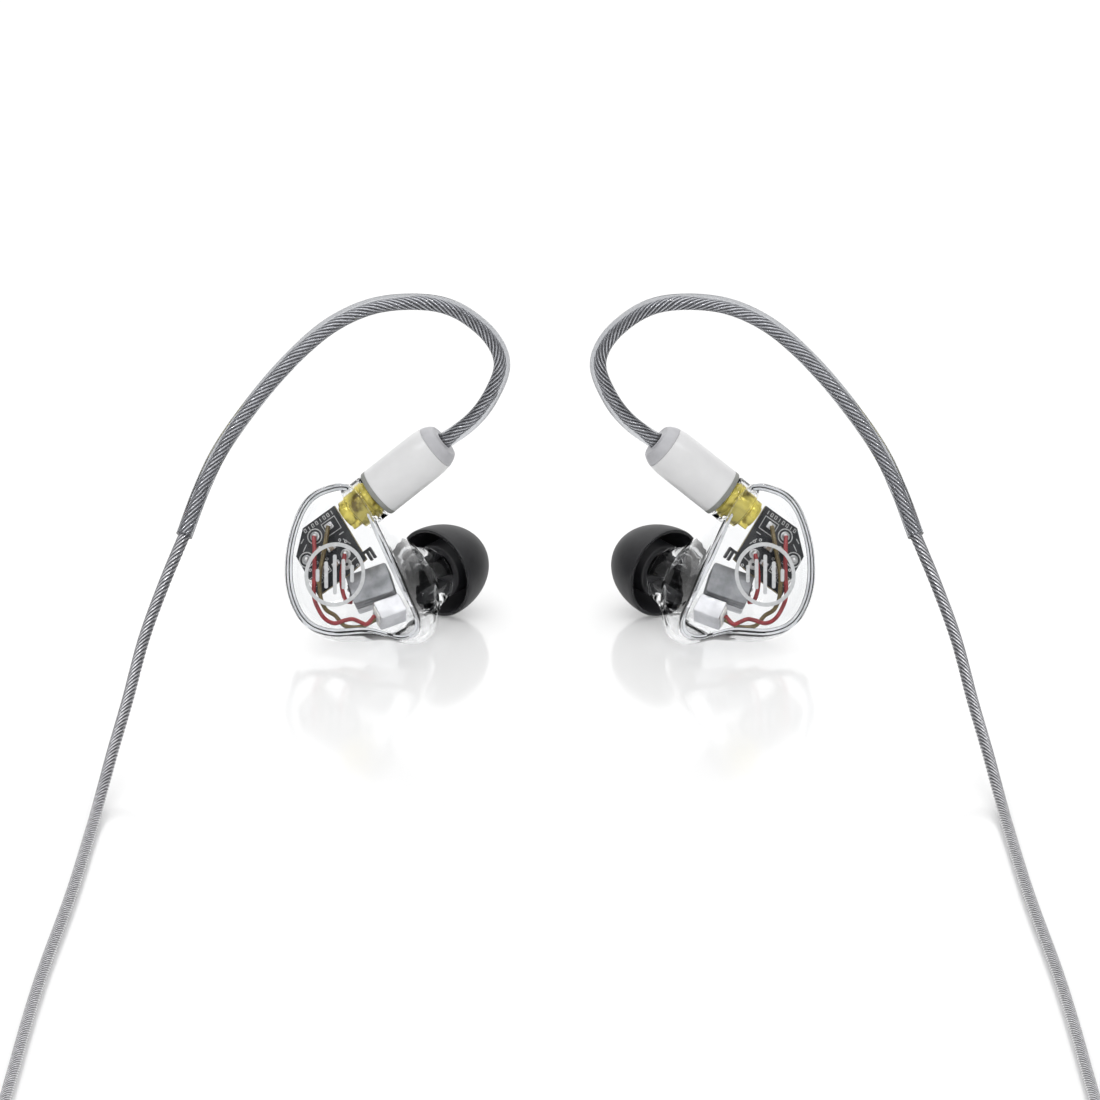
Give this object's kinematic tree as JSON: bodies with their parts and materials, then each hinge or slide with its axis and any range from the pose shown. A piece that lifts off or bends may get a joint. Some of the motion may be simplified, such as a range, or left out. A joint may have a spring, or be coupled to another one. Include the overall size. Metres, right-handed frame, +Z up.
{
  "type": "in-ear monitors",
  "caption": "Pair of in-ear monitors with clear shells, black dome ear tips and over-ear hooks on a detachable Y cable with a coiled lead and a 3.5 mm jack plug.",
  "frame": {"origin": "on the floor midway between the two earpieces, at the bottom centre of the earpieces and ear hooks", "axes": "+Z up, +X across the pair towards the right earpiece in the front view, faceplates and cable towards -Y"},
  "size_m": [0.1377, 0.3125, 0.0459],
  "materials": {
    "clear_acrylic": "clear, polished acrylic",
    "printed_ink": "light grey pad print",
    "circuit_board": "black solder mask",
    "solder": "bright solder",
    "component": "ceramic chip parts",
    "socket_gold": "olive-gold plating, satin",
    "ptfe": "white insulator",
    "gold_contact": "gold plating",
    "driver_grey": "satin steel can",
    "driver_silver": "bright steel can",
    "clear_tube": "clear soft tube",
    "damper": "dark woven acoustic damper",
    "steel_mesh": "perforated steel",
    "wire_red": "red enamelled wire",
    "wire_green": "olive enamelled wire",
    "black_silicone": "satin black silicone",
    "boot_white": "pearl white moulding",
    "collar_grey": "grey moulding",
    "hook_sleeve": "translucent grey sleeve over a twisted silver cord",
    "cord": "twisted silver cord in a clear jacket",
    "split_grey": "light grey moulding",
    "tie_black": "black rubber",
    "jack_grey": "dark anodised aluminium"
  },
  "bodies": {
    "cable": {"left_boot": "boot_white", "left_boot_collar": "collar_grey", "left_plug_barrel": "gold_contact", "left_plug_pin": "gold_contact", "left_ear_hook": "hook_sleeve", "left_branch_cord": "cord", "right_boot": "boot_white", "right_boot_collar": "collar_grey", "right_plug_barrel": "gold_contact", "right_plug_pin": "gold_contact", "right_ear_hook": "hook_sleeve", "right_branch_cord": "cord", "y_split": "split_grey", "main_cord": "cord", "main_coil": "cord", "cord_tie": "tie_black", "jack_barrel": "jack_grey", "jack_strain_relief": "tie_black", "jack_sleeve_contact": "gold_contact", "jack_tip_contacts": "gold_contact", "jack_insulators": "tie_black"},
    "left_coupling": {"left_snap_ring": "gold_contact"},
    "left_earpiece": {"left_shell": "clear_acrylic", "left_faceplate": "clear_acrylic", "left_emblem_ring": "printed_ink", "left_circuit_board": "circuit_board", "left_solder_pads": "solder", "left_crossover_parts": "component", "left_socket_barrel": "socket_gold", "left_socket_insulator": "ptfe", "left_socket_contact": "gold_contact", "left_woofer": "driver_grey", "left_midrange_driver": "driver_silver", "left_tweeter": "driver_silver", "left_sound_tubes": "clear_tube", "left_dampers": "damper", "left_nozzle_screen": "steel_mesh", "left_wire_red": "wire_red", "left_wire_green": "wire_green"},
    "left_tip": {"left_ear_tip": "black_silicone"},
    "right_coupling": {"right_snap_ring": "gold_contact"},
    "right_earpiece": {"right_shell": "clear_acrylic", "right_faceplate": "clear_acrylic", "right_emblem_ring": "printed_ink", "right_circuit_board": "circuit_board", "right_solder_pads": "solder", "right_crossover_parts": "component", "right_socket_barrel": "socket_gold", "right_socket_insulator": "ptfe", "right_socket_contact": "gold_contact", "right_woofer": "driver_grey", "right_midrange_driver": "driver_silver", "right_tweeter": "driver_silver", "right_sound_tubes": "clear_tube", "right_dampers": "damper", "right_nozzle_screen": "steel_mesh", "right_wire_red": "wire_red", "right_wire_green": "wire_green"},
    "right_tip": {"right_ear_tip": "black_silicone"},
    "slider": {"chin_slider": "split_grey"}
  },
  "joints": [
    {"name": "left_swivel", "type": "hinge", "parent": "cable", "child": "left_coupling", "pos_m": [-0.02177, 0.00641, 0.01797], "axis": [0.7676, 0.0122, 0.6409], "continuous": true},
    {"name": "left_unplug", "type": "slide", "parent": "left_coupling", "child": "left_earpiece", "axis": [-0.7676, -0.0122, -0.6409], "range_m": [0, 0.006]},
    {"name": "left_tip_pull", "type": "slide", "parent": "left_earpiece", "child": "left_tip", "axis": [0.6436, 0.7615, 0.0762], "range_m": [0, 0.0045]},
    {"name": "right_swivel", "type": "hinge", "parent": "cable", "child": "right_coupling", "pos_m": [0.02177, 0.00641, 0.01797], "axis": [-0.7676, 0.0122, 0.6409], "continuous": true},
    {"name": "right_unplug", "type": "slide", "parent": "right_coupling", "child": "right_earpiece", "axis": [0.7676, -0.0122, -0.6409], "range_m": [0, 0.006]},
    {"name": "right_tip_pull", "type": "slide", "parent": "right_earpiece", "child": "right_tip", "axis": [-0.6436, 0.7615, 0.0762], "range_m": [0, 0.0045]},
    {"name": "chin_slide", "type": "slide", "parent": "cable", "child": "slider", "axis": [0, 1, 0], "range_m": [0, 0.014]}
  ]
}
